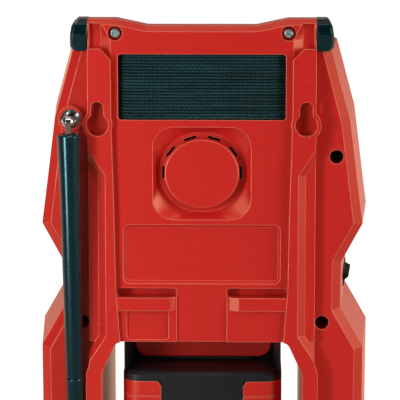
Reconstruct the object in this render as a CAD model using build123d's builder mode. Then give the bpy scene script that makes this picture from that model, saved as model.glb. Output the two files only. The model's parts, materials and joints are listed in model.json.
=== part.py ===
"""Jobsite radio with a side antenna and a slide-in battery, in millimetres.

X runs to the right of someone who faces the front, +Y is the back and +Z is up. The origin is the
middle of the footprint on the ground. Left and right in the names are as seen from the front.
"""
from math import atan2, cos, degrees, hypot, pi, radians, sin, tan
import os

from build123d import *

os.makedirs("parts", exist_ok=True)

# ---------------------------------------------------------------- driving dimensions
wall = 2.7                  # housing walls
seat_gap = 0.3              # clearance between pieces that move or slide past each other
fit_gap = 0.05              # radial clearance of shafts and pins

# battery cells: the battery and the case are built round them
cell_r = 9.1
cell_length = 65.0
cell_rows = 5
cell_pitch = 2 * cell_r + 0.2

# heights
case_top = 228.7
top_dip = 3.2               # the middle of the top lies this much lower than its shoulders
leg_bottom = 2.0
foot_depth = 1.0            # how far the feet sit in the legs
pack_low = 5.0              # underside of the battery
pack_part = pack_low + cell_pitch + 2 * cell_r + 3.0
shoulder_z = pack_part + 12.4
holder_low = shoulder_z + 1.8
neck_top = holder_low + 3.8
channel_top = neck_top + 6.0
body_bottom = channel_top + 4.9      # underside of the central body, between the legs
pillar_top = case_top - 15.1
knee_height = body_bottom - 15.5     # where the inside of a leg turns straight

# half widths
pack_half = cell_length / 2 + 6.2
holder_half = pack_half - 4.7
neck_half = holder_half - 9.6
channel_half = neck_half + 5.0
body_half = pack_half + 15.5
dip_half = body_half - 28.2
shoulder_inner = body_half - 13.2
leg_inner = body_half - 5.8
panel_foot = body_half - 13.0        # inner edge of the rails at the underside of the body
core_half = body_half + 1.8          # straight inner part of a pillar
opening_half = body_half - 7.2       # opening round the front panel

# levels from back to front
rail_face = 56.0            # raised rails of the rear cover
panel_face = rail_face - 3.0         # middle panel
pillar_face = rail_face - 7.0        # pillars and legs
pillar_depth = rail_face - pillar_face
case_joint = pillar_face - 73.0      # joint of main and front housing
case_front = case_joint - 34.0
main_depth = pillar_face - case_joint
front_depth = case_joint - case_front
pack_front = case_front
pack_back = pack_front + cell_rows * cell_pitch + 14.0
holder_back, holder_front = pack_back - 31.0, pack_front + 8.0
channel_front = holder_front + 12.0

# side pillars: outer edge at the pillar face, from the top down
waist_top, waist_bottom = body_bottom + 37.8, body_bottom + 15.7
pillar_edge = [(body_half + 7.2, pillar_top), (body_half + 16.3, pillar_top - 33.6),
               (body_half + 21.1, waist_top + 30.7), (body_half + 22.7, waist_top + 18.7),
               (body_half + 12.5, waist_top), (body_half + 12.3, waist_bottom),
               (body_half + 23.3, body_bottom - 3.5), (body_half + 22.9, leg_bottom)]
flank_flare = 5.3           # outward lean of the flanks between pillar face and case joint
front_taper = 4.0           # inward lean of the flanks in front of the case joint
pillar_chamfer = 4.0

# top slope towards the front
slope_start = pillar_face - 12.0
slope_angle = 9.0

# screws
screw_head_r = 2.4
screw_shank_r = 1.5
small_shank_r = 1.1
cover_screw_x, cover_screw_z = body_half - 13.1, case_top - 6.6
pillar_screw_spots = [(body_half + 10.1, pillar_top - 50.7), (body_half + 3.6, body_bottom + 8.7),
                      (body_half + 9.8, leg_bottom + 20.0)]
pillar_bore_r = 3.35
pillar_boss_r = 5.2
holder_screw_x, holder_screw_ys = channel_half - 3.4, (holder_back - 7.0, channel_front + 3.0)


def facing_back(y):
    """Sketch plane at depth y with local axes X and Z; a positive extrude runs to the front."""
    return Plane.XZ.offset(-y)


def slope_height(y):
    """Height of the sloping top at depth y."""
    return case_top - max(0.0, slope_start - y) * tan(radians(slope_angle))


def both_sides(spots):
    """The spots and their mirror images."""
    return [(side * x, z) for side in (1, -1) for x, z in spots]


def inset(edge, by):
    """The outer edge of a pillar moved inwards; its two ends slide along the top and bottom."""
    lines = []
    for (x0, z0), (x1, z1) in zip(edge, edge[1:]):
        length = hypot(x1 - x0, z1 - z0)
        dx, dz = (z1 - z0) / length * by, (x0 - x1) / length * by
        lines.append(((x0 + dx, z0 + dz), (x1 - x0, z1 - z0)))
    moved = []
    for (p, u), (q, v) in zip(lines, lines[1:]):
        t = ((q[0] - p[0]) * v[1] - (q[1] - p[1]) * v[0]) / (u[0] * v[1] - u[1] * v[0])
        moved.append((p[0] + t * u[0], p[1] + t * u[1]))
    (p, u), (q, v) = lines[0], lines[-1]
    first = (p[0] + (edge[0][1] - p[1]) / u[1] * u[0], edge[0][1])
    last = (q[0] + (edge[-1][1] - q[1]) / v[1] * v[0], edge[-1][1])
    return [first, *moved, last]


def pillar_points(shift=0.0, by=0.0, low=leg_bottom, high=pillar_top, inner=body_half):
    """Outline of a pillar and leg with its outer edge shifted outwards, then moved inwards."""
    edge = [(x + shift, z) for x, z in inset(pillar_edge, by)]
    (x0, z0), (x1, z1) = edge[0], edge[1]
    edge[0] = (x0 + (x1 - x0) * (z0 - high) / (z0 - z1), high)
    edge[-1] = (edge[-1][0], low)
    return [(inner, high), *edge, (inner, low)]


web_points = [(leg_inner, leg_bottom), (leg_inner, knee_height), (panel_foot + 0.9, body_bottom - 2.0),
              (panel_foot - 0.3, body_bottom - 0.6), (panel_foot - 1.9, body_bottom)]
core_points = [(body_half - wall, pillar_top), (core_half, pillar_top), (core_half, leg_bottom),
               *web_points, (panel_foot, body_bottom + wall), (body_half - wall, body_bottom + wall)]
core_hollow = [(body_half, pillar_top - 6 * wall), (core_half + 1.5, pillar_top - 6 * wall),
               (core_half + 1.5, leg_bottom + wall), (leg_inner + wall, leg_bottom + wall),
               (leg_inner + wall, body_bottom - wall), (body_half, body_bottom - wall)]
body_points = [(body_half, body_bottom), (body_half, case_top), (shoulder_inner, case_top),
               (dip_half, case_top - top_dip), (-dip_half, case_top - top_dip),
               (-shoulder_inner, case_top), (-body_half, case_top), (-body_half, body_bottom)]
above_top = [(body_half + 1, case_top + 20), (body_half + 1, case_top), *body_points[2:6],
             (-body_half - 1, case_top), (-body_half - 1, case_top + 20)]
slope_run = Vector(0, -1, -tan(radians(slope_angle))) * (slope_start - case_front + 1)
inner_floor = body_bottom + wall
inner_top = case_top - top_dip - wall


def ceiling(y):
    """Height of the inside of the top wall at depth y."""
    return slope_height(y) - top_dip - wall


# ---------------------------------------------------------------- main housing
antenna_x, antenna_z = body_half + 8.4, pillar_top - 32.4
antenna_collar_r = 6.0
antenna_collar_height = 3.0
antenna_well_r = 4.7
antenna_stem_r = 2.2
socket_wall = 5.0           # housing wall behind the antenna
cover_boss_r = 4.7
cover_boss_end = pillar_face - 5.5   # front end of the screw bosses of the rear cover
retainer_ear = 2.5          # thickness of the strap retainer's ears
tongue_height, tongue_width, tongue_from, tongue_to = 5.9, 3.0, -10.0, 40.0
tongue_x = body_half + 3.3
flap_y, flap_z = -3.0, (waist_top + waist_bottom) / 2 - 2.55
flap_length, flap_height, flap_thick = 30.0, 10.0, 1.6
flap_sink = 1.2
aux_offset, usb_offset = -8.5, 5.5
aux_hole_r = 3.3
usb_width, usb_height = 13.4, 5.8
foot_x, foot_length, foot_width = body_half + 8.8, 22.0, 18.0
foot_back, foot_front = 34.0, -41.0

# main board
board_level, board_thick, board_half = body_bottom + 8.5, 1.6, body_half - 8.2
board_back = pillar_face - 6.0
board_front = board_back - 54.0
board_post_inset, board_post_r = 5.0, 3.0
board_post_x = board_half - board_post_inset

flank_x = pillar_edge[5][0] + (pillar_edge[4][0] - pillar_edge[5][0]) / 2
flap_x = flank_x + flank_flare * (pillar_face - flap_y) / main_depth
flap_plane = Plane(origin=(-flap_x, flap_y, flap_z), x_dir=(-flank_flare, -main_depth, 0),
                   z_dir=(-main_depth, flank_flare, 0))
flap_side = Plane(origin=flap_plane.origin, x_dir=flap_plane.z_dir,
                  z_dir=(flank_flare, main_depth, 0))
flap_low = -flap_height / 2 + seat_gap

with BuildPart() as main_housing:
    # pillar and leg, leaning outwards towards the case joint
    shoulder_shift = flank_flare * pillar_chamfer / main_depth
    root = body_half - flank_flare
    with BuildSketch(facing_back(pillar_face)):
        with BuildLine():
            Polyline(*pillar_points(by=pillar_chamfer, inner=root), close=True)
        make_face()
    with BuildSketch(facing_back(pillar_face - pillar_chamfer)):
        with BuildLine():
            Polyline(*pillar_points(shoulder_shift, inner=root), close=True)
        make_face()
    loft(ruled=True)
    flank_run = Vector(flank_flare, -main_depth, 0) * (1 - pillar_chamfer / main_depth)
    with BuildSketch(facing_back(pillar_face - pillar_chamfer)):
        with BuildLine():
            Polyline(*pillar_points(shoulder_shift, inner=root), close=True)
        make_face()
    extrude(amount=flank_run.length, dir=flank_run)
    # its hollow
    with BuildSketch(facing_back(pillar_face - pillar_chamfer)):
        with BuildLine():
            Polyline(*pillar_points(shoulder_shift, wall, leg_bottom + wall, pillar_top - wall, root),
                     close=True)
        make_face()
    extrude(amount=flank_run.length, dir=flank_run, mode=Mode.SUBTRACT)
    # straight inner part
    with BuildSketch(facing_back(pillar_face)):
        with BuildLine():
            Polyline(*core_points, close=True)
        make_face()
    extrude(amount=main_depth)
    with BuildSketch(facing_back(pillar_face - wall)):
        with BuildLine():
            Polyline(*core_hollow, close=True)
        make_face()
    extrude(amount=main_depth, mode=Mode.SUBTRACT)
    # tongue that holds the corner bumper
    with BuildSketch(Plane.XY.offset(pillar_top)):
        with Locations((tongue_x, (tongue_from + tongue_to) / 2)):
            Rectangle(tongue_width, tongue_to - tongue_from)
    extrude(amount=tongue_height)
    # foot recess
    with BuildSketch(Plane.XY.offset(leg_bottom)):
        with Locations((foot_x, foot_back)):
            Rectangle(foot_width, foot_length)
    extrude(amount=foot_depth, mode=Mode.SUBTRACT)
    mirror(about=Plane.YZ)
    # central body with its sloping top
    with BuildSketch(facing_back(pillar_face)):
        with BuildLine():
            Polyline(*body_points, close=True)
        make_face()
    extrude(amount=main_depth)
    with BuildSketch(facing_back(slope_start)):
        with BuildLine():
            Polyline(*above_top, close=True)
        make_face()
    extrude(amount=slope_run.length, dir=slope_run, mode=Mode.SUBTRACT)
    with BuildSketch(Plane.YZ):
        with BuildLine():
            Polyline((pillar_face, inner_floor), (pillar_face, inner_top), (slope_start, inner_top),
                     (case_joint, ceiling(case_joint)), (case_joint, inner_floor), close=True)
        make_face()
    extrude(amount=body_half - wall, both=True, mode=Mode.SUBTRACT)
    # seats for the screw bosses of the rear cover
    with BuildSketch(facing_back(cover_boss_end)):
        with Locations(*both_sides([(cover_screw_x, cover_screw_z)])):
            Circle(cover_boss_r)
    extrude(amount=20)
    with BuildSketch(facing_back(pillar_face)):
        with Locations(*both_sides([(cover_screw_x, cover_screw_z)])):
            Circle(cover_boss_r + seat_gap)
    extrude(amount=pillar_face - cover_boss_end + retainer_ear, mode=Mode.SUBTRACT)
    with BuildSketch(facing_back(cover_boss_end)):
        with Locations(*both_sides([(cover_screw_x, cover_screw_z)])):
            Circle(screw_shank_r + fit_gap)
    extrude(amount=14, mode=Mode.SUBTRACT)
    # bosses of the pillar screws, bored from the back
    with BuildSketch(facing_back(pillar_face - wall)):
        with Locations(*both_sides(pillar_screw_spots)):
            Circle(pillar_boss_r)
    extrude(amount=main_depth - wall)
    with BuildSketch(facing_back(pillar_face)):
        with Locations(*both_sides(pillar_screw_spots)):
            Circle(pillar_bore_r)
    extrude(amount=main_depth - 2 * wall, mode=Mode.SUBTRACT)
    with BuildSketch(facing_back(case_joint + 2 * wall)):
        with Locations(*both_sides(pillar_screw_spots)):
            Circle(screw_shank_r + fit_gap)
    extrude(amount=2 * wall, mode=Mode.SUBTRACT)
    # antenna socket
    with BuildSketch(facing_back(pillar_face + antenna_collar_height)):
        with Locations((antenna_x, antenna_z)):
            Circle(antenna_collar_r)
    extrude(amount=antenna_collar_height + socket_wall)
    with BuildSketch(facing_back(pillar_face + antenna_collar_height)):
        with Locations((antenna_x, antenna_z)):
            Circle(antenna_well_r)
    extrude(amount=antenna_collar_height, mode=Mode.SUBTRACT)
    with BuildSketch(facing_back(pillar_face)):
        with Locations((antenna_x, antenna_z)):
            Circle(antenna_stem_r + fit_gap)
    extrude(amount=socket_wall, mode=Mode.SUBTRACT)
    # recess and holes of the side ports
    with BuildSketch(flap_plane.offset(1)):
        Rectangle(flap_length + 2 * seat_gap, flap_height + 2 * seat_gap)
    extrude(amount=-1 - flap_sink, mode=Mode.SUBTRACT)
    with BuildSketch(flap_plane):
        with Locations((aux_offset, 0)):
            Circle(aux_hole_r)
        with Locations((usb_offset, 0)):
            RectangleRounded(usb_width, usb_height, 0.8)
    extrude(amount=-2 * wall, mode=Mode.SUBTRACT)
    # standoffs of the main board and screw holes of the battery holder
    with BuildSketch(Plane.XY.offset(inner_floor)):
        with Locations((0, (board_back + board_front) / 2)):
            with GridLocations(2 * board_post_x, board_back - board_front - 2 * board_post_inset, 2, 2):
                Circle(board_post_r)
    extrude(amount=board_level - inner_floor)
    with BuildSketch(Plane.XY.offset(board_level)):
        with Locations((0, (board_back + board_front) / 2)):
            with GridLocations(2 * board_post_x, board_back - board_front - 2 * board_post_inset, 2, 2):
                Circle(small_shank_r + fit_gap)
    extrude(amount=-(board_level - inner_floor), mode=Mode.SUBTRACT)
    with BuildSketch(Plane.XY.offset(body_bottom)):
        with Locations(*both_sides([(holder_screw_x, holder_screw_ys[0])])):
            Circle(screw_shank_r + fit_gap)
    extrude(amount=wall, mode=Mode.SUBTRACT)

# ---------------------------------------------------------------- front housing
panel_level = case_front + wall      # front of the front panel
opening_low, opening_high, opening_r = body_bottom + 8.5, case_top - 24.5, 6.0
front_boss_r = 4.2

with BuildPart() as front_housing:
    taper_run = Vector(-front_taper, -front_depth, 0) * (1 - pillar_chamfer / front_depth)
    edge_shift = flank_flare - front_taper * (1 - pillar_chamfer / front_depth)
    with BuildSketch(facing_back(case_joint)):
        with BuildLine():
            Polyline(*pillar_points(flank_flare), close=True)
        make_face()
    extrude(amount=taper_run.length, dir=taper_run)
    with BuildSketch(facing_back(case_front + pillar_chamfer)):
        with BuildLine():
            Polyline(*pillar_points(edge_shift), close=True)
        make_face()
    with BuildSketch(facing_back(case_front)):
        with BuildLine():
            Polyline(*pillar_points(edge_shift, pillar_chamfer), close=True)
        make_face()
    loft(ruled=True)
    with BuildSketch(facing_back(case_joint)):
        with BuildLine():
            Polyline(*pillar_points(flank_flare, wall, leg_bottom + wall, pillar_top - wall), close=True)
        make_face()
    extrude(amount=taper_run.length, dir=taper_run, mode=Mode.SUBTRACT)
    with BuildSketch(facing_back(case_joint)):
        with BuildLine():
            Polyline(*core_points, close=True)
        make_face()
    extrude(amount=front_depth)
    with BuildSketch(facing_back(case_joint)):
        with BuildLine():
            Polyline(*core_hollow, close=True)
        make_face()
    extrude(amount=front_depth - wall, mode=Mode.SUBTRACT)
    with BuildSketch(Plane.XY.offset(leg_bottom)):
        with Locations((foot_x, foot_front)):
            Rectangle(foot_width, foot_length)
    extrude(amount=foot_depth, mode=Mode.SUBTRACT)
    mirror(about=Plane.YZ)
    with BuildSketch(facing_back(case_joint)):
        with BuildLine():
            Polyline(*body_points, close=True)
        make_face()
    extrude(amount=front_depth)
    with BuildSketch(facing_back(slope_start)):
        with BuildLine():
            Polyline(*above_top, close=True)
        make_face()
    extrude(amount=slope_run.length, dir=slope_run, mode=Mode.SUBTRACT)
    with BuildSketch(Plane.YZ):
        with BuildLine():
            Polyline((case_joint, inner_floor), (case_joint, ceiling(case_joint)),
                     (panel_level, ceiling(panel_level)), (panel_level, inner_floor), close=True)
        make_face()
    extrude(amount=body_half - wall, both=True, mode=Mode.SUBTRACT)
    # opening that frames the front panel
    with BuildSketch(facing_back(panel_level)):
        with Locations((0, (opening_low + opening_high) / 2)):
            RectangleRounded(2 * opening_half, opening_high - opening_low, opening_r)
    extrude(amount=wall, mode=Mode.SUBTRACT)
    # screw bosses
    with BuildSketch(facing_back(case_joint)):
        with Locations(*both_sides(pillar_screw_spots)):
            Circle(front_boss_r)
    extrude(amount=front_depth - wall)
    with BuildSketch(facing_back(case_joint)):
        with Locations(*both_sides(pillar_screw_spots)):
            Circle(screw_shank_r + fit_gap)
    extrude(amount=front_depth - 3 * wall, mode=Mode.SUBTRACT)
    with BuildSketch(Plane.XY.offset(body_bottom)):
        with Locations(*both_sides([(holder_screw_x, holder_screw_ys[1])])):
            Circle(screw_shank_r + fit_gap)
    extrude(amount=wall, mode=Mode.SUBTRACT)

# ---------------------------------------------------------------- rear cover
pocket_low, pocket_high = case_top - 19.0, case_top - 1.9
pocket_depth = 2.5
pocket_corner = pocket_high - 7.5    # the slanted side widens below this height
pocket_mouth = [(body_half - 0.8, pocket_high), (body_half - 6.6, pocket_high),
                (body_half - 10.9, pocket_corner), (body_half - 10.9, pocket_low),
                (body_half - 0.8, pocket_low)]
pocket_floor = [(body_half - 0.8, pocket_high), (body_half - 5.9, pocket_high),
                (body_half - 6.3, pocket_corner), (body_half - 6.3, pocket_low),
                (body_half - 0.8, pocket_low)]
rail_points = [(body_half, pocket_low + 5.3), (body_half - 6.0, pocket_low + 5.3),
               (body_half - 11.0, pocket_low), (body_half - 11.1, pocket_low - 28.7),
               (body_half - 12.2, pocket_low - 66.7), (panel_foot, body_bottom + 25.5),
               (panel_foot - 1.9, body_bottom + 0.2), *web_points[::-1],
               (body_half + 1.6, leg_bottom), (body_half + 1.6, knee_height),
               (body_half, body_bottom - 10.5)]
keyhole_x, keyhole_z = body_half - 4.6, case_top - 50.0
keyhole_r, keyhole_slot_r, keyhole_slot_z = 5.3, 3.1, keyhole_z + 8.0
keyhole_lip, keyhole_depth = 2.5, 5.5
keyhole_boss_r = 7.1
cover_sink_r, cover_sink = 3.5, 3.2
relief_top, relief_bottom = case_top - 74.1, body_bottom + 3.0   # where a rail's outer side slopes
relief_half = body_half - 8.2               # outer edge of the narrow rail
relief_pitch = 1.52                         # steepness of the facets at its ends
window_half, window_low, window_high, window_r = body_half - 14.3, case_top - 47.8, case_top - 16.5, 1.5
well_z, well_width, well_height, well_corner = case_top - 73.5, 47.0, 44.6, 10.0
ring_half_x, ring_half_z, ring_depth = 20.4, 19.1, 4.5
disc_half_x, disc_half_z, disc_proud, disc_edge = 17.9, 16.6, 1.0, 0.8
slot_count, slot_width, slot_length = 10, 1.2, 6.3
cover_skin = 2.5
label_width, label_height, label_z, label_r, label_depth = 75.2, 28.6, body_bottom + 42.6, 3.0, 1.8
lip_inner, lip_outer = 12.0, panel_foot - 0.2
lip_low, lip_high = body_bottom + 15.4, body_bottom + 21.8
lip_proud, block_proud = 2.8, 1.0
lip_bend, lip_corner = 6.6, 3.0             # rounded inner end of the left lip
facet_from, facet_to = 1.4, 5.8             # slanted inner end of the right lip
groove_high, groove_depth, groove_r = body_bottom + 26.1, 6.0, 1.5
block_recess_inner, block_recess_outer, block_recess_low = 16.0, 36.0, body_bottom + 1.1
top_chamfer = 2.6
lip_middle = (lip_inner + lip_outer) / 2
slot_turns = [2 * pi * i / slot_count for i in range(slot_count // 2 + 1)]   # upper half only
slot_run_x = disc_half_x + 0.05 + slot_width / 2
slot_run_z = disc_half_z + 0.05 + slot_width / 2

with BuildPart() as rear_cover:
    # plate over the back of the central body, chamfered along the top
    with BuildSketch(facing_back(panel_face)):
        with BuildLine():
            Polyline(*body_points, close=True)
        make_face()
    extrude(amount=panel_face - pillar_face)
    back_edges = rear_cover.faces().sort_by(Axis.Y)[-1].edges()
    chamfer(back_edges.filter_by(lambda e: e.bounding_box().min.Z > case_top - 2 * top_dip), top_chamfer)
    # corner pockets, with a slanted side
    for side in (1, -1):
        with BuildSketch(facing_back(panel_face)):
            with BuildLine():
                Polyline(*[(side * x, z) for x, z in pocket_mouth], close=True)
            make_face()
        with BuildSketch(facing_back(panel_face - pocket_depth)):
            with BuildLine():
                Polyline(*[(side * x, z) for x, z in pocket_floor], close=True)
            make_face()
        loft(ruled=True, mode=Mode.SUBTRACT)
    # rail that runs down into the leg, with the swelling round the keyhole
    with BuildSketch(facing_back(rail_face)):
        with BuildLine():
            Polyline(*rail_points, close=True)
        make_face()
        with Locations((keyhole_x, keyhole_z)):
            Circle(keyhole_boss_r)
    extrude(amount=pillar_depth)
    # sloping outer side with a facet at each end
    run = body_half - relief_half
    with BuildSketch(facing_back(rail_face)):
        with BuildLine():
            Polyline((relief_half, relief_top), (relief_half + 16, relief_top + 16 * relief_pitch),
                     (relief_half + 16, relief_bottom - 16 * relief_pitch),
                     (relief_half, relief_bottom), close=True)
        make_face()
    extrude(amount=hypot(run, pillar_depth), dir=(run, -pillar_depth, 0), mode=Mode.SUBTRACT)
    mirror(about=Plane.YZ)
    # bosses of the cover screws, sunk from the back
    with BuildSketch(facing_back(pillar_face)):
        with Locations(*both_sides([(cover_screw_x, cover_screw_z)])):
            Circle(cover_boss_r)
    extrude(amount=pillar_face - cover_boss_end)
    with BuildSketch(facing_back(panel_face)):
        with Locations(*both_sides([(cover_screw_x, cover_screw_z)])):
            Circle(cover_sink_r)
    extrude(amount=cover_sink, mode=Mode.SUBTRACT)
    with BuildSketch(facing_back(panel_face - cover_sink)):
        with Locations(*both_sides([(cover_screw_x, cover_screw_z)])):
            Circle(screw_shank_r + fit_gap)
    extrude(amount=10, mode=Mode.SUBTRACT)
    # strap window
    with BuildSketch(facing_back(panel_face)):
        with Locations((0, (window_low + window_high) / 2)):
            RectangleRounded(2 * window_half, window_high - window_low, window_r)
    extrude(amount=panel_face - pillar_face, mode=Mode.SUBTRACT)
    # vent: a rounded square that narrows to a ring, with a disc in the middle
    with BuildSketch(facing_back(pillar_face)):
        with Locations((0, well_z)):
            RectangleRounded(well_width + 2, well_height + 2, well_corner + 1)
    extrude(amount=ring_depth + cover_skin - (panel_face - pillar_face))
    with BuildSketch(facing_back(panel_face)) as well_mouth:
        with Locations((0, well_z)):
            RectangleRounded(well_width, well_height, well_corner)
    with BuildSketch(facing_back(panel_face - ring_depth)) as well_floor:
        with Locations((0, well_z)):
            RectangleRounded(2 * ring_half_x, 2 * ring_half_z, ring_half_z - 0.3)
    loft(mode=Mode.SUBTRACT)
    with BuildSketch(facing_back(panel_face + disc_proud)):
        with Locations((0, well_z)):
            Ellipse(disc_half_x, disc_half_z)
    extrude(amount=ring_depth + disc_proud)
    disc_rim = rear_cover.edges().filter_by(GeomType.ELLIPSE).filter_by(
        lambda e: abs(e.center().Y - panel_face - disc_proud) < 0.01)
    fillet(disc_rim, disc_edge)
    with BuildSketch(facing_back(panel_face + disc_proud - cover_skin)):
        with Locations((0, well_z)):
            Ellipse(disc_half_x - cover_skin, disc_half_z - cover_skin)
    extrude(amount=ring_depth + 2 * cover_skin, mode=Mode.SUBTRACT)
    with BuildSketch(facing_back(panel_face - ring_depth)):
        with Locations((0, well_z)):
            with Locations(*[Location((slot_run_x * cos(turn), slot_run_z * sin(turn)),
                                      degrees(atan2(slot_run_z * cos(turn), -slot_run_x * sin(turn))))
                             for turn in slot_turns]):
                SlotOverall(slot_length, slot_width)
    extrude(amount=cover_skin, mode=Mode.SUBTRACT)
    # shallow recess below it
    with BuildSketch(facing_back(panel_face)):
        with Locations((0, label_z)):
            RectangleRounded(label_width, label_height, label_r)
    extrude(amount=label_depth, taper=35, mode=Mode.SUBTRACT)
    # strap hooks: a groove with a lip below it on each side
    with BuildSketch(facing_back(pillar_face)):
        with Locations(*both_sides([(lip_middle, (lip_high + groove_high) / 2)])):
            Rectangle(lip_outer - lip_inner + 2 * cover_skin, groove_high - lip_high + 2 * cover_skin)
    extrude(amount=groove_depth + cover_skin - (panel_face - pillar_face))
    with BuildSketch(facing_back(panel_face)):
        with Locations(*both_sides([(lip_middle, (lip_high + groove_high) / 2)])):
            RectangleRounded(lip_outer - lip_inner, groove_high - lip_high, groove_r)
    extrude(amount=groove_depth, mode=Mode.SUBTRACT)
    with BuildSketch(facing_back(panel_face)):
        with Locations(*both_sides([(lip_middle + 0.5, (lip_high + body_bottom) / 2)])):
            Rectangle(lip_outer - lip_inner + 1, lip_high - body_bottom)
    extrude(amount=-block_proud)
    with BuildSketch(Plane.XY.offset(lip_low)):
        with BuildLine():
            lip_start = (lip_inner, panel_face)
            lip_full = (lip_inner + lip_bend, panel_face + lip_proud)
            Polyline(lip_full, (lip_outer + 1, panel_face + lip_proud), (lip_outer + 1, panel_face),
                     lip_start)
            ThreePointArc(lip_start, (lip_inner + 0.45 * lip_bend, panel_face + 0.75 * lip_proud), lip_full)
        make_face()
        with BuildLine():
            Polyline((-lip_inner - facet_from, panel_face), (-lip_inner - facet_from, panel_face + block_proud),
                     (-lip_inner - facet_to, panel_face + lip_proud),
                     (-lip_outer - 1, panel_face + lip_proud), (-lip_outer - 1, panel_face), close=True)
        make_face()
    extrude(amount=lip_high - lip_low)
    with BuildSketch(facing_back(panel_face + lip_proud)):
        with Locations((lip_inner + lip_corner / 2, lip_low + lip_corner / 2)):
            Rectangle(lip_corner, lip_corner)
        with Locations((lip_inner + lip_corner, lip_low + lip_corner)):
            Circle(lip_corner, mode=Mode.SUBTRACT)
    extrude(amount=lip_proud - block_proud, mode=Mode.SUBTRACT)
    with BuildSketch(facing_back(panel_face + block_proud)) as block_recess:
        with Locations(((block_recess_inner + block_recess_outer) / 2, (lip_low + block_recess_low) / 2)):
            Rectangle(block_recess_outer - block_recess_inner, lip_low - block_recess_low)
        fillet(block_recess.vertices().group_by(Axis.Y)[0], 1.8)
    extrude(amount=block_proud, mode=Mode.SUBTRACT)
    # keyholes: entry and slot in the front wall, a wide space behind the slot
    with BuildSketch(facing_back(rail_face)):
        with Locations(*both_sides([(keyhole_x, keyhole_z)])):
            Circle(keyhole_r)
        with Locations(*both_sides([(keyhole_x, (keyhole_z + keyhole_slot_z) / 2)])):
            SlotCenterToCenter(keyhole_slot_z - keyhole_z, 2 * keyhole_slot_r, rotation=90)
    extrude(amount=keyhole_depth, mode=Mode.SUBTRACT)
    with BuildSketch(facing_back(rail_face - keyhole_lip)):
        with Locations(*both_sides([(keyhole_x, (keyhole_z + keyhole_slot_z) / 2)])):
            SlotCenterToCenter(keyhole_slot_z - keyhole_z, 2 * keyhole_r, rotation=90)
    extrude(amount=keyhole_depth - keyhole_lip, mode=Mode.SUBTRACT)
    # tabs that reach behind the lower edge of the main housing
    with BuildSketch(facing_back(pillar_face)):
        with Locations(*both_sides([(body_half / 2, inner_floor + seat_gap + 1.2)])):
            Rectangle(12, 2.4)
    extrude(amount=4)

# ---------------------------------------------------------------- cover and pillar screws
with BuildPart() as cover_screws:
    with BuildSketch(facing_back(panel_face - cover_sink + 2)):
        with Locations(*both_sides([(cover_screw_x, cover_screw_z)])):
            Circle(screw_head_r)
    extrude(amount=2)
    head_edges = cover_screws.edges().filter_by(GeomType.CIRCLE).group_by(Axis.Y)[-1]
    chamfer(head_edges, 0.5)
    with BuildSketch(facing_back(panel_face - cover_sink)):
        with Locations(*both_sides([(cover_screw_x, cover_screw_z)])):
            Circle(screw_shank_r)
    extrude(amount=15)
    with BuildSketch(facing_back(panel_face - cover_sink + 2)):
        with Locations(*both_sides([(cover_screw_x, cover_screw_z)])):
            Rectangle(2.8, 0.7)
            Rectangle(0.7, 2.8)
    extrude(amount=1.2, mode=Mode.SUBTRACT)

with BuildPart() as pillar_screws:
    with BuildSketch(facing_back(case_joint + 2 * wall + 2.2)):
        with Locations(*both_sides(pillar_screw_spots)):
            Circle(pillar_bore_r - 0.45)
    extrude(amount=2.2)
    with BuildSketch(facing_back(case_joint + 2 * wall)):
        with Locations(*both_sides(pillar_screw_spots)):
            Circle(screw_shank_r)
    extrude(amount=2 * wall + 18)
    with BuildSketch(facing_back(case_joint + 2 * wall + 2.2)):
        with Locations(*both_sides(pillar_screw_spots)):
            Rectangle(3.2, 0.8)
            Rectangle(0.8, 3.2)
    extrude(amount=1.2, mode=Mode.SUBTRACT)

# ---------------------------------------------------------------- strap, its bars and their tray
bar_x, bar_y, bar_r = body_half - 10.7, panel_face - 8.6, 1.5
band_thick, band_height = 1.6, window_high - window_low - 1.1
band_y = panel_face - 1.6           # middle of the band in the window
tray_half, tray_low, tray_high = body_half - 5.0, window_low - 2.3, window_high + 3.5
tray_front, tray_wall = bar_y - 8.4, 2.0
ring_gap = 0.3

with BuildPart() as strap_retainer:
    with BuildSketch(facing_back(pillar_face)):
        with Locations((0, (tray_low + tray_high) / 2)):
            Rectangle(2 * tray_half, tray_high - tray_low)
    extrude(amount=pillar_face - tray_front)
    with BuildSketch(facing_back(pillar_face)):
        with Locations((0, (tray_low + tray_high) / 2)):
            Rectangle(2 * (tray_half - tray_wall), tray_high - tray_low - 2 * tray_wall)
    extrude(amount=pillar_face - tray_front - tray_wall, mode=Mode.SUBTRACT)
    # ears at the two top screws
    with BuildSketch(facing_back(cover_boss_end)):
        with Locations(*both_sides([(cover_screw_x, cover_screw_z)])):
            Circle(cover_boss_r - 0.2)
        with Locations(*both_sides([(cover_screw_x, (cover_screw_z + tray_high) / 2 - 1)])):
            Rectangle(2 * cover_boss_r - 2, cover_screw_z - tray_high + 2)
    extrude(amount=retainer_ear)
    with BuildSketch(facing_back(cover_boss_end)):
        with Locations(*both_sides([(cover_screw_x, cover_screw_z)])):
            Circle(screw_shank_r + fit_gap)
    extrude(amount=retainer_ear, mode=Mode.SUBTRACT)
    # grooves that hold the ends of the bars
    with BuildSketch(Plane.XY.offset(tray_low + tray_wall / 2)):
        with Locations((bar_x, bar_y), (-bar_x, bar_y)):
            Circle(bar_r)
        with Locations((bar_x, (bar_y + pillar_face) / 2), (-bar_x, (bar_y + pillar_face) / 2)):
            Rectangle(2 * bar_r, pillar_face - bar_y)
    extrude(amount=tray_high - tray_low - tray_wall, mode=Mode.SUBTRACT)

with BuildPart() as strap_bars:
    with BuildSketch(Plane.XY.offset(tray_low + tray_wall / 2)):
        with Locations((bar_x, bar_y), (-bar_x, bar_y)):
            Circle(bar_r)
    extrude(amount=tray_high - tray_low - tray_wall)

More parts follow.
